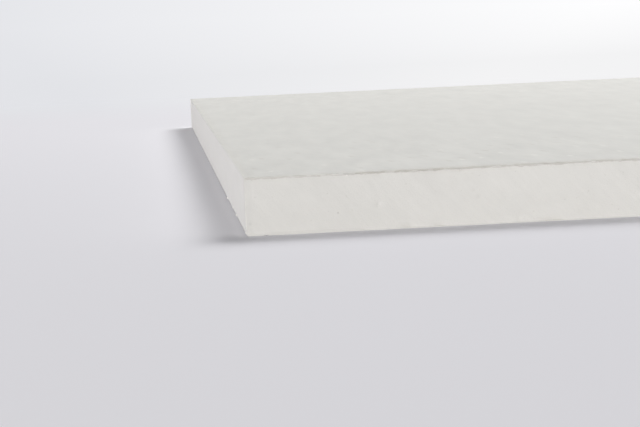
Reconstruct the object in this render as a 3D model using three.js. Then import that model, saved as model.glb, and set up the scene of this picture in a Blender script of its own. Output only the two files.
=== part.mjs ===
// Square-edge gypsum board, cut to a 1200 x 600 mm panel and lying face up, in millimetres with +Z up.
// The origin is on the underside, at the middle of the panel. X runs between the two bound edges, which
// the face paper wraps, and Y between the two cut sides, which show the core and the ends of the papers.
//
// Section at a bound edge, seen along +Y (not to scale):
//
//     ______________________________
//    |  ____________________________   face paper
//    | |
//    | |         gypsum core
//    | |     ___________
//    | |____/   flap    |___________
//    |_____/ |______________________   back paper, lapped over the flap
//
// The board is pressed flat while it is wet, so the flap jogs up under the back paper's edge, and the
// margin outside that edge lies almost level with the back paper.
import * as THREE from "three";

// Panel
const boardWidth = 1200; // X, from bound edge to bound edge
const panelDepth = 600; // Y, from cut side to cut side
const thickness = 12.5; // Z, papers and core together

// Papers
const facePaper = 0.375;
const backPaper = 0.25;
const flapWidth = 25; // how far the face paper folds in under the board
const lapMargin = 4.5; // from the bound edge to the back paper's edge
const lapRecess = 0.125; // how far the margin lies above the back paper's underside
const jogRun = 0.5; // the flap's slope up to the back paper's edge

// Bound edges
const foldRadius = 0.125; // inside of the fold, at the face and at the back
const foldSteps = 6; // facets in a quarter turn of a fold

const halfWidth = boardWidth / 2;
const lapEdge = halfWidth - lapMargin;
const edgeRadius = foldRadius + facePaper; // outside of the fold

const material = {
  core: new THREE.MeshStandardMaterial({ color: "#d9d7d2", roughness: 0.95, metalness: 0 }),
  face: new THREE.MeshStandardMaterial({ color: "#d8d6d1", roughness: 0.9, metalness: 0 }),
  back: new THREE.MeshStandardMaterial({ color: "#c6c1b8", roughness: 0.92, metalness: 0 }),
};

// Points of a quarter turn about (x, z), from startAngle and anticlockwise.
function fold(x, z, radius, startAngle) {
  const points = [];
  for (let step = 0; step <= foldSteps; step += 1) {
    const angle = startAngle + (step / foldSteps) * (Math.PI / 2);
    points.push([x + radius * Math.cos(angle), z + radius * Math.sin(angle)]);
  }
  return points;
}

// The face paper's line round the +X bound edge, at a depth of inset below its outer side:
// from the end of the flap, down the jog, up the edge and to the start of the flat face.
function wrapLine(inset) {
  const centreX = halfWidth - edgeRadius;
  const radius = edgeRadius - inset;
  return [
    [halfWidth - flapWidth, backPaper + inset],
    [lapEdge, backPaper + inset],
    [lapEdge + jogRun, lapRecess + inset],
    ...fold(centreX, lapRecess + edgeRadius, radius, -Math.PI / 2),
    ...fold(centreX, thickness - edgeRadius, radius, 0),
  ];
}

// The same points on the -X side, in the opposite order.
function mirrored(line) {
  return line.map(([x, z]) => [-x, z]).reverse();
}

// A closed outline in X and Z, drawn out from cut side to cut side.
function drawnOut(outline) {
  const shape = new THREE.Shape(outline.map(([x, z]) => new THREE.Vector2(x, z)));
  return new THREE.ExtrudeGeometry(shape, { depth: panelDepth, bevelEnabled: false })
    .rotateX(Math.PI / 2)
    .translate(0, panelDepth / 2, 0);
}

// The core fills the wrap, and steps down between the flaps to the back paper.
function gypsumCore() {
  const side = wrapLine(facePaper);
  const stepFoot = [halfWidth - flapWidth, backPaper];
  const half = [stepFoot, ...side];
  return drawnOut([...half, ...mirrored(half)]);
}

// One sheet of paper: face, both bound edges and both flaps.
function faceSheet() {
  const outer = wrapLine(0);
  const inner = wrapLine(facePaper);
  return drawnOut([...outer, ...mirrored(outer), ...mirrored(inner).reverse(), ...inner.reverse()]);
}

// A flat sheet over the core between the flaps and over most of each flap.
function backSheet() {
  return drawnOut([
    [-lapEdge, 0],
    [lapEdge, 0],
    [lapEdge, backPaper],
    [-lapEdge, backPaper],
  ]);
}

function piece(name, geometry, finish) {
  const mesh = new THREE.Mesh(geometry, finish);
  mesh.name = name;
  return mesh;
}

const drywallSheet = new THREE.Group();
drywallSheet.name = "drywall_sheet";
drywallSheet.add(
  piece("gypsum_core", gypsumCore(), material.core),
  piece("face_paper", faceSheet(), material.face),
  piece("back_paper", backSheet(), material.back),
);

export default drywallSheet;
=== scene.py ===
"""Finish of a square-edge gypsum board panel: face up on a pale floor, seen low over one corner.

Blender works in metres. The shapes are worked out in millimetres and scaled once, in Builder.make.
"""

import math

import bpy
import numpy as np
from mathutils import Matrix, Vector


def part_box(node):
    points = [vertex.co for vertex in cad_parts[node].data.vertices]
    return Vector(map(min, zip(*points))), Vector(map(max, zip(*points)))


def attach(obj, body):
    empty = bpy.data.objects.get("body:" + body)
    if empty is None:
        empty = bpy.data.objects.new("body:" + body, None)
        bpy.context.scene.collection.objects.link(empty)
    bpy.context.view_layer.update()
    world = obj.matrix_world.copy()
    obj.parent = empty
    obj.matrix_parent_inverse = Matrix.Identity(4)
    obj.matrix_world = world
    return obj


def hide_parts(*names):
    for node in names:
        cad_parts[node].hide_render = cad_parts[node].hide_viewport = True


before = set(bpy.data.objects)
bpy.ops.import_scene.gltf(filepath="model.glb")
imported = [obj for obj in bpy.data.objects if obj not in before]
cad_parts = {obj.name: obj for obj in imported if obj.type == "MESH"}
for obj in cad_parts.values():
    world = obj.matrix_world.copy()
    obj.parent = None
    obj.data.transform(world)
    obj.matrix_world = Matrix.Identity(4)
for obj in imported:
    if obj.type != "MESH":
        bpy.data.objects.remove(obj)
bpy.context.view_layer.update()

scene = bpy.context.scene
MM = 0.001
FRONT, REAR = -1, 1  # the two sawn sides, as signs of Y


# ---- the panel's sizes in millimetres

def box_mm(node):
    """The lowest and the highest corner of a CAD node."""
    low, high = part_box(node)
    return np.array(low) / MM, np.array(high) / MM


face_low, face_high = box_mm("face_paper")
core_high = box_mm("gypsum_core")[1]
back_high = box_mm("back_paper")[1]

HALF_WIDTH, HALF_DEPTH, TOP = face_high
FACE_PAPER = TOP - core_high[2]  # thickness
BACK_PAPER = back_high[2]  # thickness
LAP_EDGE = back_high[0]  # where the back paper ends, under the face paper's flap
LAP_RECESS = face_low[2]  # how high the bare margin beside it lies above the floor
JOG_RUN = 0.5  # over this width the face paper steps up from the margin to clear the back paper
FLAP_END = HALF_WIDTH - 25.0  # up to here the face paper is folded in under the board
FLAP_FEATHER = 0.6  # over this width the flap's end is thinned
FLAP_TIP = 0.1  # and to this share of the paper's thickness
CORE_RADIUS = 0.125  # inside the fold
FOLD_RADIUS = CORE_RADIUS + FACE_PAPER
FOLD_START = HALF_WIDTH - FOLD_RADIUS  # in X


# ---- noise

HASH_STEPS = (374761393, 668265263, 1442695041)  # large odd numbers, one for each input
HASH_ROUNDS = ((13, 1274126177), (16, 2246822519))  # shifts and factors
WORD = 0xFFFFFFFF


def hashed(ix, iy, seed):
    """A fixed pseudo-random number from -1 to 1 for each pair of whole numbers."""
    inputs = (ix.astype(np.int64), iy.astype(np.int64), seed)
    h = sum(value * step for value, step in zip(inputs, HASH_STEPS)) & WORD
    for shift, factor in HASH_ROUNDS:
        h = ((h ^ (h >> shift)) * factor) & WORD
    return ((h ^ (h >> 15)) & 0xFFFFFF) / 0x7FFFFF - 1.0


def eased(t):
    """0 to 1 again, with a level start and a level end."""
    return t * t * (3 - 2 * t)


def noise(seed, cell, u, v=0.0):
    """Smooth noise from -1 to 1 with features about two cells across."""
    u, v = np.broadcast_arrays(np.asarray(u, float) / cell, np.asarray(v, float) / cell)
    iu, iv = np.floor(u), np.floor(v)
    fu, fv = eased(u - iu), eased(v - iv)
    corner = [[hashed(iu + a, iv + b, seed) for b in (0, 1)] for a in (0, 1)]
    near = corner[0][0] * (1 - fu) + corner[1][0] * fu
    far = corner[0][1] * (1 - fu) + corner[1][1] * fu
    return near * (1 - fv) + far * fv


def layered(seed, layers, u, v=0.0):
    """Noises added up. Each layer is the size of its cells and its weight."""
    return sum(weight * noise(seed + i, cell, u, v) for i, (cell, weight) in enumerate(layers))


def ramp(value, start, end):
    """0 up to start, 1 from end on, and smooth between."""
    return eased(np.clip((value - start) / (end - start), 0, 1))


# ---- meshes

CORNER_ZONE = 100.0  # this near a bound edge, a paper's columns of points stand closer together
SMOOTH_ANGLE = math.radians(40)  # faces that meet at more than this show an edge


def placed(name, data):
    """A new object in the scene, made of that data."""
    thing = bpy.data.objects.new(name, data)
    scene.collection.objects.link(thing)
    return thing


def graded(half, zone, fine, coarse):
    """Stations from -half to half: fine steps within zone of each end, coarse ones between."""
    inner = half - zone
    fine_count = round(zone / fine)
    coarse_count = round(2 * inner / coarse)
    return np.concatenate([
        np.linspace(-half, -inner, fine_count, endpoint=False),
        np.linspace(-inner, inner, coarse_count, endpoint=False),
        np.linspace(inner, half, fine_count + 1),
    ])


def rows(from_side):
    """Y of each row of points: that far from either sawn side, and one row in the middle."""
    depth = HALF_DEPTH - np.array([*from_side, HALF_DEPTH])
    return np.concatenate([-depth, depth[:-1][::-1]])


def nearness(y, reach):
    """1 at a sawn side, and 0 from reach on."""
    return np.clip(1 - (HALF_DEPTH - np.abs(y)) / reach, 0, 1) ** 2


def end_row(line, side, back):
    """A line given in X and Z, laid along a sawn side and set back from it."""
    return np.column_stack([line[:, 0], side * (HALF_DEPTH - back), line[:, 1]])


class Builder:
    """Collects points, faces and each face's material, and makes one closed mesh of them."""

    def __init__(self):
        self.points = []
        self.faces = []
        self.slots = []
        self.count = 0

    def add_points(self, grid):
        """Adds an array of points and returns their numbers, in the array's own layout."""
        numbers = np.arange(self.count, self.count + grid[..., 0].size).reshape(grid.shape[:-1])
        self.points.append(grid.reshape(-1, 3))
        self.count += numbers.size
        return numbers

    def add_quads(self, numbers, slot, flip=False):
        """Joins a grid's points: anticlockwise as [i, j] from outside, or clockwise with flip."""
        a, b, c, d = numbers[:-1, :-1], numbers[1:, :-1], numbers[1:, 1:], numbers[:-1, 1:]
        quads = np.stack([a, d, c, b] if flip else [a, b, c, d], axis=-1).reshape(-1, 4)
        self.faces.extend(quads.tolist())
        self.slots.extend([slot] * len(quads))

    def add_face(self, numbers, slot):
        self.faces.append([int(n) for n in numbers])
        self.slots.append(slot)

    def add_piece(self, points, faces):
        """Adds a whole closed shape, all of it in the first material."""
        numbers = self.add_points(points)
        for face in faces:
            self.add_face(numbers[face], 0)

    def make(self, name, materials):
        mesh = bpy.data.meshes.new(name)
        mesh.from_pydata((np.concatenate(self.points) * MM).tolist(), [], self.faces)
        for material in materials:
            mesh.materials.append(material)
        mesh.polygons.foreach_set("material_index", self.slots)
        mesh.shade_smooth()
        mesh.set_sharp_from_angle(angle=SMOOTH_ANGLE)
        mesh.validate()
        return placed(name, mesh)


# ---- face paper

FACE_STEPS = (0.4, 0.9)  # between columns: near a bound edge, and elsewhere
# Its rows of points, from a sawn side.
FACE_ROWS = (0, 0.14, 0.35, 0.7, 1.3, 2.2, 3.6, 6, 10, 17, 29, 50, 85, 130, 180, 240)
FLAP_COLUMNS, MARGIN_COLUMNS, EDGE_COLUMNS = 24, 6, 24
FOLD_STEPS = 6
LINER, SAWN, PLY = 0, 1, 2  # materials: the outer side, the sawn ends and the inner side

FRAY = 0.16  # how far a sawn paper end stands back at most, where it is only frayed
FRAY_LEAST = 0.15  # the share of that which it stands back everywhere
FRAY_TUFTS = ((1.1, 0.5), (0.5, 0.35))  # cells and weights of the rest
TEAR = 0.55  # how far a torn spot runs in at most
TEAR_SITES = ((7.0, 1.0), (1.2, 0.25))  # cells and weights of the noise that places the tears
TEAR_LEVEL = (0.62, 0.85)  # of that noise: where a tear begins, and where it is whole
TEAR_CELL = 0.8  # of a tear's own edge
TORN_SPOT = (22.6, 0.9)  # a tear on the front side: from the left edge, and half its width
HELD = 0.25  # the share of this where paper is held: round the bound edges and underneath
END_LAYERS = (  # outer, middle and inner: step of the seed, and shares of the fray and the tear
    (0, 1.0, 1.0),
    (9, 0.6, 0.5),
    (17, 0.35, 0.0),
)
FACE_END_SEED = {FRONT: 11, REAR: 31}

SKIN_RIPPLE = 0.03  # depth of the ripple where the paper covers the core
RIPPLES = ((34.0, 0.3), (9.0, 0.2))
CURL = 0.09  # how far the face's sawn end curls down
CURL_CELL = 2.6  # round the bound edges both have the share HELD; underneath there is neither
END_REACH = 3.0  # how far in from a sawn side the paper is disturbed
LAP_BURR = 0.11  # how far the bare margin's sawn end is bent down, towards the floor
SKIN_SEED = 51


def wrap_line(inset, stations):
    """The face paper's line in X and Z, that far below its outer side.

    It runs along a flap, an edge, the face at the stations in X, and the other edge and flap.
    Returns the points and, for each, its outward normal.
    """
    low_z, high_z = LAP_RECESS + FOLD_RADIUS, TOP - FOLD_RADIUS
    radius = FOLD_RADIUS - inset
    flap_x = np.linspace(FLAP_END + FLAP_FEATHER, LAP_EDGE, FLAP_COLUMNS)
    margin_x = np.linspace(LAP_EDGE + JOG_RUN, FOLD_START, MARGIN_COLUMNS)[:-1]
    edge_z = np.linspace(low_z, high_z, EDGE_COLUMNS)[1:-1]
    turn = [(math.cos(a), math.sin(a)) for a in np.linspace(0, math.pi / 2, FOLD_STEPS + 1)]

    half = [(FLAP_END, BACK_PAPER + FLAP_TIP * inset, 0, -1)]
    half += [(x, BACK_PAPER + inset, 0, -1) for x in flap_x]
    half += [(x, LAP_RECESS + inset, 0, -1) for x in margin_x]
    half += [(FOLD_START + radius * s, low_z - radius * c, s, -c) for c, s in turn]
    half += [(HALF_WIDTH - inset, z, 1, 0) for z in edge_z]
    half += [(FOLD_START + radius * c, high_z + radius * s, c, s) for c, s in turn]
    face = [(x, TOP - inset, 0, 1) for x in stations[::-1]]
    other = [(-x, z, -nx, nz) for x, z, nx, nz in half[::-1]]
    line = np.array(half + face + other)
    return line[:, :2], line[:, 2:]


def travelled(line):
    """How far along the line each point is."""
    return np.concatenate([[0], np.cumsum(np.hypot(*np.diff(line, axis=0).T))])


def frayed(along, seed):
    """How far the fibres of a sawn paper end stand back, along its length."""
    tufts = (weight * np.abs(noise(seed + i, cell, along))
             for i, (cell, weight) in enumerate(FRAY_TUFTS))
    return FRAY * (FRAY_LEAST + sum(tufts))


def torn(along, seed):
    """How far it is torn back: nothing for most of its length."""
    where = ramp(layered(seed, TEAR_SITES, along), *TEAR_LEVEL)
    return TEAR * where * (0.5 + 0.5 * np.abs(noise(seed + 2, TEAR_CELL, along)))


def face_ends(line, normal, along):
    """How far the face paper's ends stand back, for each sawn side and each of END_LAYERS."""
    on_face = normal[:, 1] > 0.5
    looseness = np.where(on_face, 1.0, HELD)
    spot = (line[:, 0] + HALF_WIDTH - TORN_SPOT[0]) / TORN_SPOT[1]
    tears = {FRONT: TEAR * np.exp(-spot**2) * on_face, REAR: 0.0}
    back = {}
    for side, seed in FACE_END_SEED.items():
        tear = tears[side] + looseness * torn(along, seed + 2)
        back[side] = [fray_share * looseness * frayed(along, seed + step) + tear_share * tear
                      for step, fray_share, tear_share in END_LAYERS]
    return back


def face_skin(line, normal, along, back):
    """The face paper's outer side, rippled over the core, and curled and frayed at its ends."""
    upward = normal[:, 1]
    u, y = np.meshgrid(along, rows(FACE_ROWS), indexing="ij")
    near = nearness(y, END_REACH)
    stand_back = np.where(y < 0, back[FRONT][0][:, None], back[REAR][0][:, None])
    ripple = 0.5 + layered(SKIN_SEED, RIPPLES, u, y)
    curl = CURL * near * (0.5 + 0.5 * noise(SKIN_SEED + 2, CURL_CELL, u, np.sign(y)))
    freedom = np.select([upward > 0.5, upward > -0.5], [1.0, HELD], 0.0)
    sink = (SKIN_RIPPLE * ripple + curl) * freedom[:, None]
    margin = ramp(-upward, 0.7, 1.0) * (np.abs(line[:, 0]) > LAP_EDGE + 0.5 * JOG_RUN)
    sink -= LAP_BURR * near**2 * margin[:, None]
    return np.stack([
        line[:, :1] - normal[:, :1] * sink,
        y - np.sign(y) * stand_back * near,
        line[:, 1:] - normal[:, 1:] * sink,
    ], axis=-1)


def face_paper(materials):
    stations = graded(FOLD_START, CORNER_ZONE, *FACE_STEPS)[1:-1]
    outer_line, normal = wrap_line(0.0, stations)
    inner_line, _ = wrap_line(FACE_PAPER, stations)
    middle_line = (outer_line + inner_line) / 2
    along = travelled(outer_line)
    back = face_ends(outer_line, normal, along)

    builder = Builder()
    outer = builder.add_points(face_skin(outer_line, normal, along, back))
    builder.add_quads(outer, LINER, flip=True)
    ends = {}
    for side, row in ((FRONT, 0), (REAR, -1)):
        middle = builder.add_points(end_row(middle_line, side, back[side][1]))
        inner = builder.add_points(end_row(inner_line, side, back[side][2]))
        ends[side] = np.column_stack([outer[:, row], middle, inner])
        builder.add_quads(ends[side], SAWN, flip=side == REAR)
    builder.add_quads(np.column_stack([ends[FRONT][:, 2], ends[REAR][:, 2]]), PLY)
    for column, order in ((0, -1), (-1, 1)):
        front, rear = ends[FRONT][column], ends[REAR][column]
        loop = [*outer[column], rear[1], rear[2], front[2], front[1]]
        builder.add_face(loop[::order], PLY)
    return builder.make("face_paper_sheet", materials)


# ---- fibres and crumbs

CLEAR_END = 1.0  # there are none this near a bound edge
FIBRE_COUNT = 800  # standing out of the face paper's end, on each sawn side
FIBRE_LENGTH = (0.25, 1.1)
FIBRE_RADIUS = (0.018, 0.034)
FIBRE_TAPER = 0.75  # the share of that lost at the tip
FIBRE_STEPS = 5
FIBRE_ROOT = 0.16  # how far behind the cut it starts
FIBRE_LEVEL = (0.15, 1.0)  # how deep it starts, as a share of the paper's thickness
FIBRE_LEAN = math.radians(85)  # from straight down to either side, at most
FIBRE_FALL = 0.7  # the share of its length that can go downwards
FIBRE_REACH = (0.1, 0.15)  # how far outwards it goes
FIBRE_DROOP = (0.0, 0.15)  # as a share of its length
FIBRE_SEED = 300

CRUMB_COUNT = 170  # of gypsum, lodged along the face paper's end, on each sawn side
CRUMB_RADIUS = (0.05, 0.13)
CRUMB_SWELL = (0.72, 1.15)  # each point of a crumb lies at a share of its radius between these
CRUMB_SHAPE = (1.3, 0.8, 1.0)
CRUMB_SUNK = 0.9  # how far behind the cut its middle lies, in radii
CRUMB_LEVEL = (-0.2, 0.7)  # how far above the core's edge its middle lies, in radii
CRUMB_SEED = 200

FRESH_CRUMBS = (  # from the left bound edge, from the front side, below the face, and radius
    (22.0, 0.17, 0.5, 0.24),  # caught beside the tear
    (0.02, 1.0, 11.8, 0.2),  # at the left bound edge's foot, as are the next three
    (0.0, 53.4, 11.8, 0.28),
    (0.02, 79.0, 11.75, 0.24),
    (0.0, 115.4, 11.8, 0.34),
)
FRESH_SEED = 400


def fibre(root, tip, droop, radius):
    """A closed three-sided hair from root to tip, bowed down by droop, as points and faces."""
    t = np.linspace(0, 1, FIBRE_STEPS)[:, None]
    line = root + (tip - root) * t
    line[:, 2] -= 4 * droop * (t * (1 - t))[:, 0]
    thick = radius * (1 - FIBRE_TAPER * t**2)
    ahead = (tip - root) / np.linalg.norm(tip - root)
    across = np.cross(ahead, (0, 1, 0))
    across /= np.linalg.norm(across)
    angle = np.arange(3)[:, None] * math.tau / 3
    ring = np.cos(angle) * across + np.sin(angle) * np.cross(ahead, across)
    points = (line[:, None, :] + thick[:, None, :] * ring[None]).reshape(-1, 3)
    faces = [[3 * i + j, 3 * i + (j + 1) % 3, 3 * i + 3 + (j + 1) % 3, 3 * i + 3 + j]
             for i in range(FIBRE_STEPS - 1) for j in range(3)]
    last = 3 * (FIBRE_STEPS - 1)
    return points, faces + [[2, 1, 0], [last, last + 1, last + 2]]


def ball():
    """A ball of unit radius with 32 faces: an octahedron with each face split into four."""
    right, ahead, up = np.eye(3)
    points = [right, ahead, -right, -ahead, up, -up]
    middles = {}

    def middle(a, b):
        key = (min(a, b), max(a, b))
        if key not in middles:
            middles[key] = len(points)
            points.append(points[a] + points[b])
        return middles[key]

    upper = [[i, (i + 1) % 4, 4] for i in range(4)]
    lower = [[(i + 1) % 4, i, 5] for i in range(4)]
    faces = []
    for a, b, c in upper + lower:
        ab, bc, ca = middle(a, b), middle(b, c), middle(c, a)
        faces += [[a, ab, ca], [ab, b, bc], [ca, bc, c], [ab, bc, ca]]
    points = np.array(points)
    return points / np.linalg.norm(points, axis=1, keepdims=True), faces


BALL_POINTS, BALL_FACES = ball()


def crumb(centre, radius, rng):
    """A closed rough lump, as points and faces."""
    swell = rng.uniform(*CRUMB_SWELL, (len(BALL_POINTS), 1))
    return centre + BALL_POINTS * radius * swell * CRUMB_SHAPE, BALL_FACES


def one_fibre(side, rng):
    """It leaves the paper's end and lies sideways or down over the gypsum."""
    x = rng.uniform(-HALF_WIDTH + CLEAR_END, HALF_WIDTH - CLEAR_END)
    length = rng.uniform(*FIBRE_LENGTH)
    lean = rng.uniform(-FIBRE_LEAN, FIBRE_LEAN)
    level = TOP - FACE_PAPER * rng.uniform(*FIBRE_LEVEL)
    root = np.array([x, side * (HALF_DEPTH - FIBRE_ROOT), level])
    outwards = side * rng.uniform(*FIBRE_REACH)
    tip = root + (length * math.sin(lean), outwards, -FIBRE_FALL * length * math.cos(lean))
    return fibre(root, tip, rng.uniform(*FIBRE_DROOP) * length, rng.uniform(*FIBRE_RADIUS))


def one_crumb(side, rng):
    """It lies on the core's edge, against the paper's end."""
    x = rng.uniform(-HALF_WIDTH + CLEAR_END, HALF_WIDTH - CLEAR_END)
    radius = rng.uniform(*CRUMB_RADIUS)
    height = TOP - FACE_PAPER + rng.uniform(*CRUMB_LEVEL) * radius
    return crumb(np.array([x, side * (HALF_DEPTH - CRUMB_SUNK * radius), height]), radius, rng)


def kept_inside(points, side):
    """The points, with any that stand proud of the panel moved in to it."""
    points[:, 0] = np.clip(points[:, 0], -HALF_WIDTH, HALF_WIDTH)
    points[:, 1] = side * np.minimum(side * points[:, 1], HALF_DEPTH)
    points[:, 2] = np.clip(points[:, 2], LAP_RECESS, TOP)
    return points


def scattered(name, count, seed, make_one, material):
    """count small pieces along each sawn side, in one mesh."""
    builder = Builder()
    for side in (FRONT, REAR):
        rng = np.random.default_rng(seed + side)
        for _ in range(count):
            points, faces = make_one(side, rng)
            builder.add_piece(kept_inside(points, side), faces)
    return builder.make(name, [material])


def fresh_crumbs(material):
    """The larger crumbs, each about half sunk in the panel, so that it stands a little proud."""
    rng = np.random.default_rng(FRESH_SEED)
    builder = Builder()
    for from_left, from_front, below_face, radius in FRESH_CRUMBS:
        centre = np.array([from_left - HALF_WIDTH, from_front - HALF_DEPTH, TOP - below_face])
        builder.add_piece(*crumb(centre, radius, rng))
    return builder.make("fresh_crumbs", [material])


# ---- gypsum core

CORE_ZONE = 60.0  # the core's own CORNER_ZONE
CORE_STEPS = (0.42, 0.92)
CORE_ROWS = 31
CORE_SEED = {FRONT: 70, REAR: 90}

SAW_ANGLE = math.radians(47)  # of a saw mark, down to the right as the front side is seen
SAW_MARKS = ((4.2, 9, 1.0), (1.1, 6, 0.35))  # spacing, how drawn out, and weight
SAW_DEPTH = 0.06
CRUMBLE = ((1.3, 1.0), (0.6, 0.6))
CRUMBLE_DEPTH = 0.03
HELD_RIM = 0.9  # over this width the cut comes up to the papers underneath and at its ends
HELD_RELIEF = 0.25  # to this share of its depth
UNDERCUT = 0.06  # just below the face paper, where the saw crumbles the gypsum more
UNDERCUT_HEIGHT = 0.9
UNDERCUT_CELL = 1.7

PORE_COUNT = 70  # on each sawn side
PORE_RADIUS = (0.35, 0.75)
PORE_DEPTH = (0.1, 0.25)
PORE_MARGIN = 1.0  # from the face and from the floor
CHIP_COUNT = 70  # along the edges of each sawn side
CHIP_LENGTH = (0.8, 2.6)  # half of it
CHIP_HEIGHT = (0.3, 0.9)
CHIP_DEPTH = (0.12, 0.3)
CHIPS_AT_FOOT = 0.6  # the share of them that would be at the foot, but for the flaps
FOOT_CHIP = (41.4, 1.0, 0.6, 0.28)  # in front: from the left edge, half length, height, depth


def core_heights(x):
    """The lowest and highest point of the core at each X: it follows the flaps and the folds."""
    past = np.clip(np.abs(x) - FOLD_START, 0, CORE_RADIUS)
    rounding = CORE_RADIUS - np.sqrt(CORE_RADIUS**2 - past**2)
    foot_x = (FLAP_END, FLAP_END + FLAP_FEATHER, LAP_EDGE, LAP_EDGE + JOG_RUN)
    margin_z = FACE_PAPER + LAP_RECESS - BACK_PAPER
    foot_z = (FLAP_TIP * FACE_PAPER, FACE_PAPER, FACE_PAPER, margin_z)
    flap_z = np.where(np.abs(x) < FLAP_END, 0, np.interp(np.abs(x), foot_x, foot_z))
    return BACK_PAPER + flap_z + rounding, TOP - FACE_PAPER - rounding


HOLLOW_REACH = 3.0  # in half lengths: beyond it a hollow is too shallow to matter


def hollow(relief, x, z, middle, length, height, depth):
    """Deepens the relief smoothly round a middle, which may have a different Z in each column."""
    near = np.abs(x[:, 0] - middle[0]) < HOLLOW_REACH * length
    middle_z = np.broadcast_to(middle[1], x[:, :1].shape)[near]
    reach = np.hypot((x[near] - middle[0]) / length, (z[near] - middle_z) / height)
    relief[near] += depth * np.exp(-reach**2)


def sawn_relief(x, z, low, high, side):
    """How deep each point of a sawn side lies below the saw's flat cut."""
    seed = CORE_SEED[side]
    across = x * math.sin(SAW_ANGLE) + z * math.cos(SAW_ANGLE)
    down = x * math.cos(SAW_ANGLE) - z * math.sin(SAW_ANGLE)
    marks = sum(weight * noise(seed + i, spacing, across, down / drawn_out)
                for i, (spacing, drawn_out, weight) in enumerate(SAW_MARKS))
    crumble = layered(seed + 2, CRUMBLE, x, z)
    relief = SAW_DEPTH * (0.7 + 0.5 * marks) + CRUMBLE_DEPTH * (0.8 + 0.5 * crumble)
    held = np.minimum(z - low, FOLD_START - np.abs(x))
    relief *= HELD_RELIEF + (1 - HELD_RELIEF) * ramp(held, 0.0, HELD_RIM)
    undercut = UNDERCUT * (0.6 + 0.4 * noise(seed + 4, UNDERCUT_CELL, x))
    relief += undercut * (1 - ramp(high - z, 0.0, UNDERCUT_HEIGHT))

    rng = np.random.default_rng(seed)
    for _ in range(PORE_COUNT):
        middle = (rng.uniform(-HALF_WIDTH, HALF_WIDTH), rng.uniform(PORE_MARGIN, TOP - PORE_MARGIN))
        size, depth = rng.uniform(*PORE_RADIUS), rng.uniform(*PORE_DEPTH)
        hollow(relief, x, z, middle, size, size, depth)
    for _ in range(CHIP_COUNT):
        place, length = rng.uniform(-HALF_WIDTH, HALF_WIDTH), rng.uniform(*CHIP_LENGTH)
        height, depth = rng.uniform(*CHIP_HEIGHT), rng.uniform(*CHIP_DEPTH)
        at_foot = rng.random() < CHIPS_AT_FOOT and abs(place) < FLAP_END
        hollow(relief, x, z, (place, low if at_foot else high), length, height, depth)
    if side == FRONT:
        from_left, *size = FOOT_CHIP
        hollow(relief, x, z, (from_left - HALF_WIDTH, low), *size)
    return np.maximum(relief, 0)


def gypsum_core(materials):
    turn = CORE_RADIUS * np.sin(np.linspace(0, math.pi / 2, FOLD_STEPS + 1))[1:]
    stations = graded(FOLD_START, CORE_ZONE, *CORE_STEPS)
    x_line = np.concatenate([-(FOLD_START + turn[::-1]), stations, FOLD_START + turn])
    low, high = (height[:, None] for height in core_heights(x_line))
    x = np.repeat(x_line[:, None], CORE_ROWS, axis=1)
    z = low + (high - low) * np.linspace(0, 1, CORE_ROWS)
    builder = Builder()
    grids = {}
    for side in (FRONT, REAR):
        y = side * (HALF_DEPTH - sawn_relief(x, z, low, high, side))
        grids[side] = builder.add_points(np.stack([x, y, z], axis=-1))
        builder.add_quads(grids[side], 0, flip=side == REAR)

    def border(numbers):
        """The outline of a grid of points, once round."""
        top_and_left = [numbers[-2::-1, -1], numbers[0, -2::-1]]
        return np.concatenate([numbers[:, 0], numbers[-1, 1:], *top_and_left])

    builder.add_quads(np.column_stack([border(grids[FRONT]), border(grids[REAR])]), 0, flip=True)
    return builder.make("gypsum_core_sawn", materials)


# ---- back paper

BACK_STEPS = (0.5, 1.2)
BACK_ROWS = (0, 0.4, 1.0, 3.0, 10, 40, 120, 220)
BACK_REACH = 2.0  # how far in from a sawn side the paper is disturbed
BACK_LIFT = 0.02  # how far it ripples up from the floor
BACK_LIFT_CELL = 30.0
BACK_END_SEED = {FRONT: 111, REAR: 131}
BACK_SEED = 141


def back_paper(materials):
    x_line = graded(LAP_EDGE, CORNER_ZONE, *BACK_STEPS)
    back = {side: HELD * (frayed(x_line, seed) + torn(x_line, seed + 2))
            for side, seed in BACK_END_SEED.items()}
    x, y = np.meshgrid(x_line, rows(BACK_ROWS), indexing="ij")
    stand_back = np.where(y < 0, back[FRONT][:, None], back[REAR][:, None])
    ripple = 0.5 + 0.5 * noise(BACK_SEED, BACK_LIFT_CELL, x, y)
    lift = BACK_LIFT * ripple * ramp(HALF_DEPTH - np.abs(y), 0, BACK_REACH)
    y -= np.sign(y) * stand_back * nearness(y, BACK_REACH)
    builder = Builder()
    lower = builder.add_points(np.stack([x, y, lift], axis=-1))
    builder.add_quads(lower, LINER, flip=True)
    upper_line = np.column_stack([x_line, np.full(len(x_line), BACK_PAPER)])
    upper = {}
    for side, row in ((FRONT, 0), (REAR, -1)):
        upper[side] = builder.add_points(end_row(upper_line, side, 0.5 * back[side]))
        end = np.column_stack([upper[side], lower[:, row]])
        builder.add_quads(end, SAWN, flip=side == FRONT)
    builder.add_quads(np.column_stack([upper[FRONT], upper[REAR]]), LINER)
    for column, order in ((0, 1), (-1, -1)):
        loop = [*lower[column, ::-1], upper[FRONT][column], upper[REAR][column]]
        builder.add_face(loop[::order], SAWN)
    return builder.make("back_paper_sheet", materials)


# ---- nodes

def srgb(red, green, blue):
    """A colour written in 0 to 255 screen values, as the linear numbers that Blender takes."""
    def linear(value):
        value /= 255
        return value / 12.92 if value <= 0.04045 else ((value + 0.055) / 1.055) ** 2.4
    return (linear(red), linear(green), linear(blue), 1.0)


NOISE_RANGE = (0.25, 0.75)  # where nearly all of a noise's values lie
SPOT_CORE = 0.4  # the share of a spot's radius up to which it is whole
SPECULAR = 0.25


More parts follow.
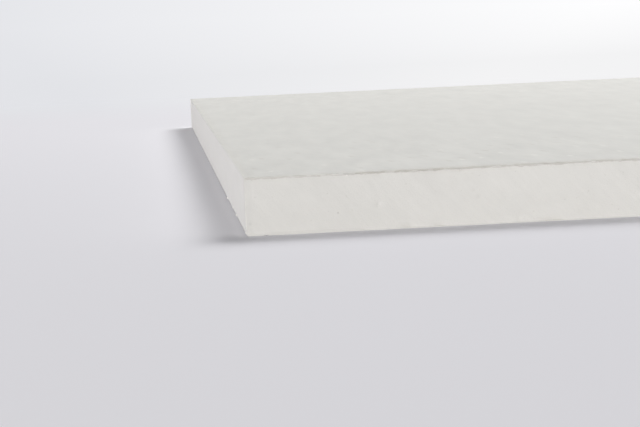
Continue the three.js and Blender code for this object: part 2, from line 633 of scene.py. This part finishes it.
class Nodes:
    """Short ways to add and join the nodes of one tree."""

    def __init__(self, tree):
        self.nodes = tree.nodes
        self.links = tree.links

    def put(self, socket, value):
        if isinstance(value, bpy.types.NodeSocket):
            self.links.new(value, socket)
        else:
            socket.default_value = value

    def add(self, kind, output, inputs=None, **settings):
        """Adds a node and returns one of its outputs. inputs are given by name or by number."""
        node = self.nodes.new("ShaderNode" + kind)
        for name, value in settings.items():
            setattr(node, name, value)
        for name, value in (inputs or {}).items():
            self.put(node.inputs[name], value)
        return node.outputs[output]

    def math(self, operation, first, second=0.0, clamp=False):
        inputs = {0: first, 1: second}
        return self.add("Math", "Value", inputs, operation=operation, use_clamp=clamp)

    def product(self, *values):
        result = values[0]
        for value in values[1:]:
            result = self.math("MULTIPLY", result, value)
        return result

    def vector(self, operation, first, second=(0.0, 0.0, 0.0)):
        return self.add("VectorMath", "Vector", {0: first, 1: second}, operation=operation)

    def scaled(self, vector, scale):
        return self.add("VectorMath", "Vector", {0: vector, "Scale": scale}, operation="SCALE")

    def length(self, vector):
        return self.add("VectorMath", "Value", {0: vector}, operation="LENGTH")

    def fade(self, value, across, results, smooth=False):
        """The first result up to one end of across, the second from the other, mixed between."""
        inputs = {"Value": value}
        inputs.update(zip(("From Min", "From Max", "To Min", "To Max"), (*across, *results)))
        kind = "SMOOTHSTEP" if smooth else "LINEAR"
        return self.add("MapRange", "Result", inputs, interpolation_type=kind)

    def mix_value(self, amount, first, second):
        return self.add("Mix", "Result", {"Factor": amount, "A": first, "B": second})

    def mix(self, amount, first, second):
        """A mix of two colours."""
        inputs = {"Factor": amount, "A": first, "B": second}
        return self.add("Mix", "Result", inputs, data_type="RGBA")

    def shade(self, colour, pattern, swing):
        """The colour made lighter and darker by a pattern around 0.5, by swing at the most."""
        colour = colour[:3] if isinstance(colour, tuple) else colour
        return self.scaled(colour, self.fade(pattern, NOISE_RANGE, (1 - swing, 1 + swing)))

    def mix_shader(self, amount, first, second):
        return self.add("MixShader", "Shader", {0: amount, 1: first, 2: second})

    def ray(self, kind):
        return self.add("LightPath", f"Is {kind} Ray")


class Material(Nodes):
    """One material. Its places and distances are in millimetres of the panel's own space."""

    def __init__(self, name):
        self.material = bpy.data.materials.new(name)
        self.material.use_nodes = True
        super().__init__(self.material.node_tree)
        self.surface = self.nodes["Principled BSDF"]
        self.put(self.surface.inputs["Specular IOR Level"], SPECULAR)
        self.place = self.scaled(self.add("TexCoord", "Object"), 1 / MM)

    def axis(self, name):
        """How far along X, Y or Z."""
        return self.add("SeparateXYZ", name, {"Vector": self.place})

    def inwards(self):
        """How far in from the nearer bound edge."""
        return self.math("SUBTRACT", HALF_WIDTH, self.math("ABSOLUTE", self.axis("X")))

    def from_end(self):
        """How far in from the nearer sawn side."""
        return self.math("SUBTRACT", HALF_DEPTH, self.math("ABSOLUTE", self.axis("Y")))

    def from_left(self):
        """How far in from the left bound edge."""
        return self.math("ADD", self.axis("X"), HALF_WIDTH)

    def from_front(self, from_left, below_face):
        """How far from a point of the front sawn side."""
        point = (from_left - HALF_WIDTH, -HALF_DEPTH, TOP - below_face)
        return self.add("VectorMath", "Value", {0: self.place, 1: point}, operation="DISTANCE")

    def turned(self, axis, angle, stretch):
        """The place turned about an axis and stretched: patterns come out 1/stretch as long."""
        inputs = {"Angle": angle, "Vector": self.place}
        place = self.add("VectorRotate", "Vector", inputs, rotation_type=axis + "_AXIS")
        return self.vector("MULTIPLY", place, stretch)

    def noise(self, size, detail, roughness, *turn):
        """Noise from 0 to 1 around 0.5, with features about size millimetres across."""
        inputs = {"Scale": 1 / size, "Detail": detail, "Roughness": roughness}
        inputs["Vector"] = self.turned(*turn) if turn else self.place
        return self.add("TexNoise", "Fac", inputs)

    def spots(self, spacing, radius, share, *turn):
        """1 inside scattered round spots and 0 outside: one in each cell, in that share of them.

        The cells fill space, or lie in X and Y alone where a turn is given.
        """
        place = self.turned(*turn) if turn else self.place
        inputs = {"Vector": place, "Scale": 1 / spacing}
        away = self.add("TexVoronoi", "Distance", inputs, voronoi_dimensions="2D" if turn else "3D")
        rim = (radius / spacing, SPOT_CORE * radius / spacing)
        chance = self.add("SeparateColor", "Red", {"Color": away.node.outputs["Color"]})
        kept = self.math("LESS_THAN", chance, share)
        return self.product(self.fade(away, rim, (0.0, 1.0)), kept)

    def finish(self, colour, roughness, heights):
        """heights are (pattern, depth in millimetres) pairs for the bump."""
        self.put(self.surface.inputs["Base Color"], colour)
        self.put(self.surface.inputs["Roughness"], roughness)
        normal = None
        for pattern, depth in heights:
            inputs = {"Distance": depth * MM, "Height": pattern}
            if normal:
                inputs["Normal"] = normal
            normal = self.add("Bump", "Normal", inputs)
        self.put(self.surface.inputs["Normal"], normal)
        return self.material


# ---- materials

# The tables here are of four kinds:
# noise: size, detail, roughness, and, where it is drawn out, the axis, the angle and the stretch;
# spots: spacing, radius, share of the cells, and the same three;
# fades: over which distances, or values of a noise, and from which result to which;
# amounts and swings: shares, at most.

CLOUDS = (5.5, 2.0, 0.5, "Z", 0.05, (1.0, 0.14, 1.0))
PATCHES = (1.9, 3.0, 0.6, "Z", -0.1, (1.0, 0.18, 1.0))
FIBRES = (0.55, 3.0, 0.6, "Z", 0.12, (1.0, 0.16, 1.0))
CROSS_FIBRES = (0.45, 2.0, 0.6, "Z", -0.5, (1.0, 0.3, 1.0))
CLOUD_SHARE, PATCH_SHARE = 1.15, 0.45  # of a liner's own swing
FIBRE_SWING, CROSS_SWING = 0.005, 0.004
HANDLED_PATTERN = ((40.0, 170.0), (1.0, 0.6))  # from a sawn end: how strong the pattern is
PLAIN_EDGE = ((0.0, 1.5), (0.4, 1.0))  # from a bound edge: likewise
FLECKS = (5.0, 0.22, 0.2)
FLECK_AMOUNT = 0.5
COOL = (1.008, 0.997, 1.022)  # what the colour is multiplied by round a bound edge
BOUND_EDGE_PAINTED_SHADE = ((0.0, TOP), (0.998, 0.945))  # in Z: and by this too, painted shade that darkens it towards the face
OFF_FACE = ((0.6, 0.3), (0.0, 1.0))  # from a bound edge: how far round it
UNDER_FOLD = ((TOP - 0.4, TOP - 0.1), (1.0, 0.0))  # in Z: likewise
WHITE = (1.0, 1.0, 1.0, 1.0)

SCUFFING = (1.8, 3.0, 0.65, "Z", 0.0, (1.0, 0.2, 1.0))
BROKEN = ((0.4, 0.6), (0.3, 1.0))  # of that noise: it breaks up scuffs and grubbiness
HANDLED_SCUFFS = ((40.0, 170.0), (1.0, 0.2))  # from a sawn end: how strong they are
# Scuffs near a sawn end, painted partly as the highlights and shade of a raised nap.
DARK_SCUFFS_AND_SHADE = (5.2, 0.9, 0.4, "Z", -0.07, (1.0, 0.17, 1.0))
DARK_AMOUNT = 0.24
PALE_SCUFFS_AND_HIGHLIGHTS = (6.0, 0.8, 0.42, "Z", 0.04, (1.0, 0.17, 1.0))
PALE_AMOUNT = 0.7
PALE_LIFT = 1.14  # how many times paler than the liner they are
GRUBBY_AND_SHADED_END = ((0.2, 7.5), (0.42, 0.0))  # from a sawn end: grubby, and painted shade where it curls down
CLEAN_CORNER = ((14.0, 32.0), (0.4, 1.0))  # from a bound edge: the share of that
ARRIS_DARKENING = ((0.6, 3.0), (0.13, 0.0))  # from a bound edge: how much darker the face is beside it
AT_ARRIS = ((TOP - 0.12, TOP - 0.04), (0.0, 1.0))  # in Z: where that shows
LINER_ROUGHNESS = ((0.3, 0.7), (0.82, 0.92))  # of the fibres' noise


def liner(name, colour, fleck, cloud):
    """Board liner: clouded, with fibres mostly along the bound edges and flecks of recycled pulp.

    Towards a sawn end the pattern is stronger and has paler and darker scuffs, painted partly as
    the highlights and shade of a raised nap. The last few millimetres are a little grubby, and
    darker with painted shade where the end curls down. Beside a bound edge the face is a little
    darker. Round a bound edge it is plainer and cooler, and painted shade makes it darker towards
    the face and paler low down.
    """
    mat = Material(name)
    height, inwards, from_end = mat.axis("Z"), mat.inwards(), mat.from_end()
    patches, fibres = mat.noise(*PATCHES), mat.noise(*FIBRES)
    cross = mat.noise(*CROSS_FIBRES)
    strength = mat.product(mat.fade(from_end, *HANDLED_PATTERN), mat.fade(inwards, *PLAIN_EDGE))
    tone = colour
    for look, swing in (
        (mat.noise(*CLOUDS), CLOUD_SHARE * cloud),
        (patches, PATCH_SHARE * cloud),
        (fibres, FIBRE_SWING),
        (cross, CROSS_SWING),
    ):
        tone = mat.shade(tone, mat.mix_value(strength, 0.5, look), swing)
    tone = mat.mix(mat.product(mat.spots(*FLECKS), FLECK_AMOUNT), tone, fleck)
    # Round a bound edge: a cooler tint, and painted shade that darkens it towards the face.
    cool_and_painted_shade = mat.scaled(COOL, mat.fade(height, *BOUND_EDGE_PAINTED_SHADE))
    around = mat.product(mat.fade(inwards, *OFF_FACE), mat.fade(height, *UNDER_FOLD))
    tone = mat.vector("MULTIPLY", tone, mat.mix(around, WHITE, cool_and_painted_shade))

    broken = mat.fade(mat.noise(*SCUFFING), *BROKEN)
    handled = mat.product(broken, mat.fade(from_end, *HANDLED_SCUFFS))
    # Dark and pale scuffs: partly painted shade and painted highlights of a raised nap.
    dark = mat.product(mat.spots(*DARK_SCUFFS_AND_SHADE), handled, DARK_AMOUNT)
    tone = mat.mix(dark, tone, fleck)
    pale = mat.product(mat.spots(*PALE_SCUFFS_AND_HIGHLIGHTS), handled, PALE_AMOUNT)
    tone = mat.mix(pale, tone, (*(PALE_LIFT * channel for channel in colour[:3]), 1.0))
    # The sawn end's rim: grubby, with painted shade where it curls down.
    rim = mat.product(mat.fade(from_end, *GRUBBY_AND_SHADED_END), broken, mat.fade(inwards, *CLEAN_CORNER))
    # Beside a bound edge the face is a little darker.
    arris = mat.product(mat.fade(inwards, *ARRIS_DARKENING), broken, mat.fade(height, *AT_ARRIS))
    tone = mat.mix(mat.math("MAXIMUM", rim, arris), tone, fleck)
    roughness = mat.fade(fibres, *LINER_ROUGHNESS)
    return mat.finish(tone, roughness, [(fibres, 0.02), (cross, 0.012), (patches, 0.02)])


GYPSUM, GYPSUM_ROUGHNESS = srgb(219, 217, 212), 0.95
GYPSUM_CLOUDS, CLOUD_SWING = (6.0, 3.0, 0.55), 0.016
SAW_BANDS, BAND_SWING = (3.4, 2.0, 0.5, "Y", -SAW_ANGLE, (0.15, 1.0, 1.0)), 0.011
SAW_DASHES, DASH_SWING = (0.9, 3.0, 0.6, "Y", -SAW_ANGLE, (0.25, 1.0, 1.0)), 0.016
GRAIN, GRAIN_SWING = (0.35, 3.0, 0.65), 0.014
# Pores and voids: their darker colour is painted shade, as inside pits.
PORES, PORE_AMOUNT = (1.3, 0.15, 0.3), 0.14
PORE_SHADE_COLOUR = srgb(168, 163, 154)
VOIDS, VOID_AMOUNT = (9.0, 0.26, 0.06), 0.4
VOID_SHADE_COLOUR = srgb(128, 122, 113)
FRONT_VOIDS = (  # in front: from the left edge, below the face, across, and how dark the painted shade is
    (19.75, 8.45, 0.5, 0.4), (49.9, 6.4, 1.4, 0.1), (48.9, 5.1, 0.9, 0.06), (0.9, 9.9, 0.9, 0.16),
)
VOID_REACH = 0.6  # of its width: how far from its middle a placed void has faded away
SCATTERED = ((84.0, 90.0), (0.0, 1.0))  # from the left edge: from here voids and gaps scatter
GYPSUM_EDGE_SHADE = ((14.0, 62.0), (0.963, 1.0))  # from a bound edge: painted shade that darkens the core towards it
GYPSUM_HEIGHT_SHADE = ((0.0, TOP), (1.025, 0.984))  # in Z: painted light and shade, paler low down and darker towards the face
DRAG = 0.26  # how far at most pulp and painted shade reach down the gypsum, and dust up the paper's end
PULP_AND_SHADE = (1.1, 3.0, 0.65, "Y", 0.0, (0.5, 1.0, 1.6))
PULP_AND_SHADE_DRAG = ((0.42, 0.68), (0.0, DRAG))  # of that noise
PULP_AND_SHADE_RIM = ((-0.06, 0.03), (0.5, 0.0))  # from the drag's end: how much pulp and painted shade there is
PULP_AND_SHADE_COLOUR = srgb(178, 173, 165)


def gypsum(name):
    """Sawn gypsum: fine pored, with faint streaks along the saw marks and a few open voids,
    the pores and voids darkened by painted shade, as pits would be.

    Under the face paper the cut has dragged pulp over it here and there, which also serves as
    painted shade under the paper's edge. Painted shade makes it a little darker towards the bound
    edges and the face, and paler low down.
    """
    mat = Material(name)
    dashes, grain = mat.noise(*SAW_DASHES), mat.noise(*GRAIN)
    tone = GYPSUM
    for look, swing in (
        (mat.noise(*GYPSUM_CLOUDS), CLOUD_SWING),
        (mat.noise(*SAW_BANDS), BAND_SWING),
        (dashes, DASH_SWING),
        (grain, GRAIN_SWING),
    ):
        tone = mat.shade(tone, look, swing)
    # Pores and voids: painted shade, as inside pits.
    pores = mat.spots(*PORES)
    tone = mat.mix(mat.product(pores, PORE_AMOUNT), tone, PORE_SHADE_COLOUR)
    scattered_on = mat.fade(mat.from_left(), *SCATTERED)
    voids = mat.product(mat.spots(*VOIDS), VOID_AMOUNT, scattered_on)
    for from_left, below_face, across, dark in FRONT_VOIDS:
        away = mat.from_front(from_left, below_face)
        void = mat.fade(away, (VOID_REACH * across, 0.0), (0.0, dark))
        voids = mat.math("MAXIMUM", voids, void)
    tone = mat.mix(voids, tone, VOID_SHADE_COLOUR)
    # Painted shade: darker towards the bound edges and the face, paler low down.
    tone = mat.scaled(tone, mat.fade(mat.inwards(), *GYPSUM_EDGE_SHADE))
    tone = mat.scaled(tone, mat.fade(mat.axis("Z"), *GYPSUM_HEIGHT_SHADE))

    # Pulp dragged under the face paper, partly painted shade under its edge.
    from_paper = mat.math("SUBTRACT", TOP - FACE_PAPER, mat.axis("Z"))
    drag = mat.fade(mat.noise(*PULP_AND_SHADE), *PULP_AND_SHADE_DRAG)
    pulp = mat.fade(mat.math("SUBTRACT", from_paper, drag), *PULP_AND_SHADE_RIM)
    tone = mat.mix(pulp, tone, PULP_AND_SHADE_COLOUR)
    filled = mat.math("SUBTRACT", 1.0, pores)
    return mat.finish(tone, GYPSUM_ROUGHNESS, [(dashes, 0.04), (grain, 0.05), (filled, 0.06)])


GAPS = (1.7, 1.0, 0.5, "Y", 0.0, (1.0, 0.0, 0.0))
GAPPY_CORNER = ((12.0, 30.0), (0.1, 0.0))  # from a bound edge: added to that noise
GAP_DEPTH = ((0.64, 0.7), (0.0, 0.8))  # of that noise: how fully dust hides the paper's end
END_BREAKS = (  # the same, placed: from the left edge, half the length, and how fully
    (10.3, 0.6, 0.4), (13.9, 0.5, 0.6), (16.9, 0.5, 0.6), (21.3, 2.5, 0.72),
    (31.2, 1.1, 0.4), (54.2, 1.0, 0.35), (75.1, 0.4, 0.8), (80.2, 0.9, 0.4),
)
BREAK_RIM = 0.15
DUST = (6.5, 3.0, 0.6, "Y", 0.0, (1.0, 0.0, 0.0))
DUST_THIN = ((0.32, 0.58), (0.35, 1.0))  # of that noise: how much pulp shows through
PLACED_PULP = 0.95  # how much shows between the placed breaks
END_FRAY = (0.8, 3.0, 0.65)
FRAY_CHANGE = ((0.3, 0.7), (-0.25, 0.25))  # of that noise: what it adds to the pulp
FRAY_DOTS = ((0.56, 0.66), (0.0, 0.25))  # of that noise: pulp that shows in any case
END_SWING = 0.04
CLEAN_STRETCH = (33.6, 9.8)  # where the front cut is cleanest: from the left edge, and half length
CLEAN_RIM = 0.6
BARE_CORNER = ((14.0, 32.0), (0.55, 0.76))  # from a bound edge: how clear of dust the end is
BARE_HEIGHT = ((TOP - 1.1, TOP - 0.5), (0.08, 1.0))  # in Z: the share of that
DUST_DRAGGED = (1.3, 3.0, 0.65, "Y", 0.0, (0.6, 1.0, 1.0))
DUST_DRAG = ((0.45, 0.7), (-0.05, DRAG))  # of that noise
DUST_RIM = ((-0.04, 0.04), (0.25, 1.0))  # from the drag's end: how clear of dust it is


def sawn_end(name, dark, pale):
    """The liner's cut end: grey pulp, broken where dust fills it, and all but hidden low down."""
    mat = Material(name)
    height, inwards, from_left = mat.axis("Z"), mat.inwards(), mat.from_left()
    scattered_on = mat.fade(from_left, *SCATTERED)
    gaps = mat.math("ADD", mat.noise(*GAPS), mat.fade(inwards, *GAPPY_CORNER))
    gaps = mat.product(mat.fade(gaps, *GAP_DEPTH), scattered_on)
    for place, half, share in END_BREAKS:
        away = mat.math("ABSOLUTE", mat.math("SUBTRACT", from_left, place))
        gap = mat.fade(away, (half + BREAK_RIM, half - BREAK_RIM), (0.0, share))
        gaps = mat.math("MAXIMUM", gaps, gap)

    thin = mat.fade(mat.noise(*DUST), *DUST_THIN)
    fray = mat.noise(*END_FRAY)
    pulp = mat.math("SUBTRACT", mat.mix_value(scattered_on, PLACED_PULP, thin), gaps)
    pulp = mat.math("ADD", pulp, mat.fade(fray, *FRAY_CHANGE), clamp=True)

    middle, half = CLEAN_STRETCH
    clean = mat.fade(mat.from_front(middle, 0.0), (half, half + CLEAN_RIM), (1.0, 0.0))
    bared = mat.math("MAXIMUM", mat.fade(inwards, *BARE_CORNER), clean)
    bared = mat.product(bared, mat.fade(height, *BARE_HEIGHT))
    from_core = mat.math("SUBTRACT", height, TOP - FACE_PAPER)
    drag = mat.fade(mat.noise(*DUST_DRAGGED), *DUST_DRAG)
    undusted = mat.fade(mat.math("SUBTRACT", from_core, drag), *DUST_RIM)
    shown = mat.product(pulp, bared, undusted)
    tone = mat.mix(mat.math("MAXIMUM", shown, mat.fade(fray, *FRAY_DOTS)), pale, dark)
    return mat.finish(mat.shade(tone, fray, END_SWING), GYPSUM_ROUGHNESS, [(fray, 0.05)])


BIT_CLOUDS, BIT_SWING = (3.0, 2.0, 0.6), 0.12
STRANDS, STRAND_SWING = (0.06, 1.0, 0.5), 0.03
BIT_ROUGHNESS = 0.9


def loose_bits(name, colour):
    """Loose fibres or crumbs, some paler and some darker."""
    mat = Material(name)
    tone = mat.shade(colour, mat.noise(*BIT_CLOUDS), BIT_SWING)
    strands = mat.noise(*STRANDS)
    tone = mat.shade(tone, strands, STRAND_SWING)
    return mat.finish(tone, BIT_ROUGHNESS, [(strands, 0.01)])


# ---- stage

FLOOR_COLOUR, FLOOR_ROUGHNESS = srgb(239, 238, 242), 0.9
FLOOR_RINGS = (0.6, 1.2, 2.0, 3.5, 6.0, 12.0, 24.0, 40.0)  # radii, in metres
FLOOR_SPOKES = 96
FLOOR_FADE = ((270.0, 1450.0), (0.0, 1.0))  # from the panel's sides: how far it has faded
REAR_FADE = 3.2  # how many times sooner it fades behind the panel

BACKDROP_START = 1500.0  # from the panel's middle: up to here the backdrop's painted shade is deepest
BACKDROP_LEFT = srgb(229, 230, 234)  # straight ahead, and so is the next: painted light brightens the backdrop from this to that
BACKDROP_RIGHT = srgb(254, 254, 255)
BACKDROP_ROUND = srgb(245, 245, 248)  # elsewhere
RIGHTWARD = ((-0.055, 0.17), (0.0, 1.0))  # by the direction's X
AHEAD = ((0.3, 0.8), (0.0, 1.0))  # by the direction's Y
NEAR_PAINTED_SHADE = (0.975, 0.905)  # painted shade: what it is multiplied by near the panel, at the left and the right

WORLD_COLOUR = srgb(250, 250, 252)
WORLD_LIGHT = 0.21


def backdrop_white(tree, direction, near=0.0):
    """The backdrop's near-white, with painted light and shade.

    Straight ahead, painted light brightens it to the right. Near, painted shade makes it greyer.
    """
    x = tree.add("SeparateXYZ", "X", {"Vector": direction})
    rightward = tree.fade(x, *RIGHTWARD)
    ahead = tree.fade(x.node.outputs["Y"], *AHEAD)
    tone = tree.mix(rightward, BACKDROP_LEFT, BACKDROP_RIGHT)
    tone = tree.mix(ahead, BACKDROP_ROUND, tone)
    painted_backdrop_shade = tree.mix_value(rightward, *NEAR_PAINTED_SHADE)
    return tree.scaled(tone, tree.mix_value(near, 1.0, painted_backdrop_shade))


def floor_mesh():
    """A flat disk, with its faces in rings."""
    turns = [k * math.tau / FLOOR_SPOKES for k in range(FLOOR_SPOKES)]
    points = [(0.0, 0.0, 0.0)]
    points += [(r * math.cos(a), r * math.sin(a), 0.0) for r in FLOOR_RINGS for a in turns]
    spokes = [(k, (k + 1) % FLOOR_SPOKES) for k in range(FLOOR_SPOKES)]
    faces = [(0, 1 + k, 1 + n) for k, n in spokes]
    for inner in range(1, len(points) - FLOOR_SPOKES, FLOOR_SPOKES):
        outer = inner + FLOOR_SPOKES
        faces += [(inner + k, outer + k, outer + n, inner + n) for k, n in spokes]
    mesh = bpy.data.meshes.new("floor")
    mesh.from_pydata(points, [], faces)
    return mesh


def pale_floor():
    """A wide plain floor: lit and shadowed near the panel, and the backdrop's white far off."""
    mat = Material("pale_floor")
    mat.put(mat.surface.inputs["Base Color"], FLOOR_COLOUR)
    mat.put(mat.surface.inputs["Roughness"], FLOOR_ROUGHNESS)
    mat.put(mat.surface.inputs["Specular IOR Level"], 0.0)

    front_left, rear_right = (-HALF_WIDTH, -HALF_DEPTH, 0.0), (HALF_WIDTH, HALF_DEPTH, 0.0)
    origin = (0.0, 0.0, 0.0)
    beyond = mat.vector("MAXIMUM", mat.vector("SUBTRACT", mat.place, rear_right), origin)
    beyond = mat.vector("MULTIPLY", beyond, (1.0, REAR_FADE, 1.0))
    before = mat.vector("MAXIMUM", mat.vector("SUBTRACT", front_left, mat.place), origin)
    away = mat.length(mat.vector("ADD", beyond, before))
    far = mat.fade(away, *FLOOR_FADE, smooth=True)

    from_corner = mat.vector("SUBTRACT", mat.place, front_left)
    direction = mat.vector("NORMALIZE", from_corner)
    # Near the panel the backdrop gets painted shade.
    near = mat.math("DIVIDE", BACKDROP_START, mat.length(mat.place), clamp=True)
    white = mat.add("Emission", "Emission", {"Color": backdrop_white(mat, direction, near)})
    seen = mat.math("MULTIPLY", mat.ray("Camera"), far, clamp=True)
    blend = mat.mix_shader(seen, mat.surface.outputs["BSDF"], white)
    mat.put(mat.nodes["Material Output"].inputs["Surface"], blend)

    mesh = floor_mesh()
    mesh.materials.append(mat.material)
    placed("floor", mesh)


def studio_world():
    """Even light from all round, and the backdrop's white where a camera ray passes the floor."""
    world = bpy.data.worlds.new("studio")
    world.use_nodes = True
    tree = Nodes(world.node_tree)
    light = tree.nodes["Background"]
    tree.put(light.inputs["Color"], WORLD_COLOUR)
    tree.put(light.inputs["Strength"], WORLD_LIGHT)
    white = backdrop_white(tree, tree.add("TexCoord", "Generated"))
    seen = tree.add("Background", "Background", {"Color": white})
    shown = tree.math("MAXIMUM", tree.ray("Camera"), tree.ray("Glossy"))
    blend = tree.mix_shader(shown, light.outputs["Background"], seen)
    tree.put(tree.nodes["World Output"].inputs["Surface"], blend)
    scene.world = world


def hang(lamp, place, target):
    holder = placed(lamp.name, lamp)
    holder.location = place
    aim = Vector(target) - Vector(place)
    holder.rotation_euler = aim.to_track_quat("-Z", "Y").to_euler()


def soft_lamp(name, place, target, size, power):
    """A round lamp, in metres and watts."""
    lamp = bpy.data.lights.new(name, "AREA")
    lamp.shape = "DISK"
    lamp.size = size
    lamp.energy = power
    hang(lamp, place, target)


def far_lamp(name, bearing, height, spread, strength):
    """A lamp so far off that it lights everything alike.

    In degrees: bearing is to the right of straight behind the panel, height is above the floor,
    and spread is how wide the lamp looks.
    """
    lamp = bpy.data.lights.new(name, "SUN")
    lamp.angle = math.radians(spread)
    lamp.energy = strength
    bearing, height = math.radians(bearing), math.radians(height)
    level = math.cos(height)
    place = (level * math.sin(bearing), level * math.cos(bearing), math.sin(height))
    hang(lamp, place, (0, 0, 0))


# ---- camera

SENSOR_WIDTH, FOCAL_LENGTH = 36.0, 150.9  # millimetres, and so is the next
CAMERA_FROM_CORNER = (-20.41, -568.79, 33.766)  # from the front left corner of the face
CAMERA_RIGHT = math.radians(3.6524)  # turned to the right of straight ahead
CAMERA_DOWN = math.radians(4.2296)
CAMERA_ROLL = math.radians(-2.6356)
CAMERA_CLIP = (0.01, 200.0)  # metres


def aim_camera():
    camera = bpy.data.cameras.new("camera")
    camera.lens = FOCAL_LENGTH
    camera.sensor_width = SENSOR_WIDTH
    camera.clip_start, camera.clip_end = CAMERA_CLIP
    holder = placed("camera", camera)
    corner = Vector((-HALF_WIDTH, -HALF_DEPTH, TOP))
    place = Matrix.Translation((corner + Vector(CAMERA_FROM_CORNER)) * MM)
    level = Matrix.Rotation(-CAMERA_RIGHT, 4, "Z")
    down = Matrix.Rotation(math.pi / 2 - CAMERA_DOWN, 4, "X")
    holder.matrix_world = place @ (level @ down) @ Matrix.Rotation(CAMERA_ROLL, 4, "Z")
    scene.camera = holder


# ---- the scene

aim_camera()
pale_floor()
studio_world()

CORNER = (-HALF_WIDTH * MM, -HALF_DEPTH * MM, 0.0)  # at the front left, in metres
far_lamp("key", bearing=22.0, height=29.0, spread=24.0, strength=2.02)
soft_lamp("back_right", place=(0.2, 0.6, 1.0), target=(-0.2, 0.3, 0.0), size=0.7, power=6.3)
soft_lamp("fill", place=(-7.4, -7.5, 1.2), target=CORNER, size=4.8, power=1160.0)

face_liner = liner(
    "face_liner", colour=srgb(213, 212, 207), fleck=srgb(176, 168, 155), cloud=0.045)
inner_ply = liner(
    "inner_ply", colour=srgb(196, 191, 182), fleck=srgb(150, 140, 126), cloud=0.02)
back_liner = liner(
    "back_liner", colour=srgb(197, 192, 182), fleck=srgb(140, 128, 112), cloud=0.03)
face_end = sawn_end("face_liner_end", dark=srgb(187, 183, 175), pale=srgb(213, 211, 206))
back_end = sawn_end("back_liner_end", dark=srgb(170, 162, 150), pale=srgb(215, 213, 208))
sawn_gypsum = gypsum("sawn_gypsum")
fuzz = loose_bits("paper_fuzz", srgb(190, 185, 176))
fresh_gypsum = loose_bits("fresh_gypsum", srgb(236, 234, 230))

for node, slot, *pieces in (
    (
        "gypsum_core", "gypsum",
        gypsum_core([sawn_gypsum]),
        scattered("gypsum_crumbs", CRUMB_COUNT, CRUMB_SEED, one_crumb, sawn_gypsum),
        fresh_crumbs(fresh_gypsum),
    ),
    (
        "face_paper", "face_paper",
        face_paper([face_liner, face_end, inner_ply]),
        scattered("face_paper_fuzz", FIBRE_COUNT, FIBRE_SEED, one_fibre, fuzz),
    ),
    ("back_paper", "back_paper", back_paper([back_liner, back_end])),
):
    for piece in pieces:
        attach(piece, "root")
        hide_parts(node)

scene.view_settings.view_transform = "Standard"
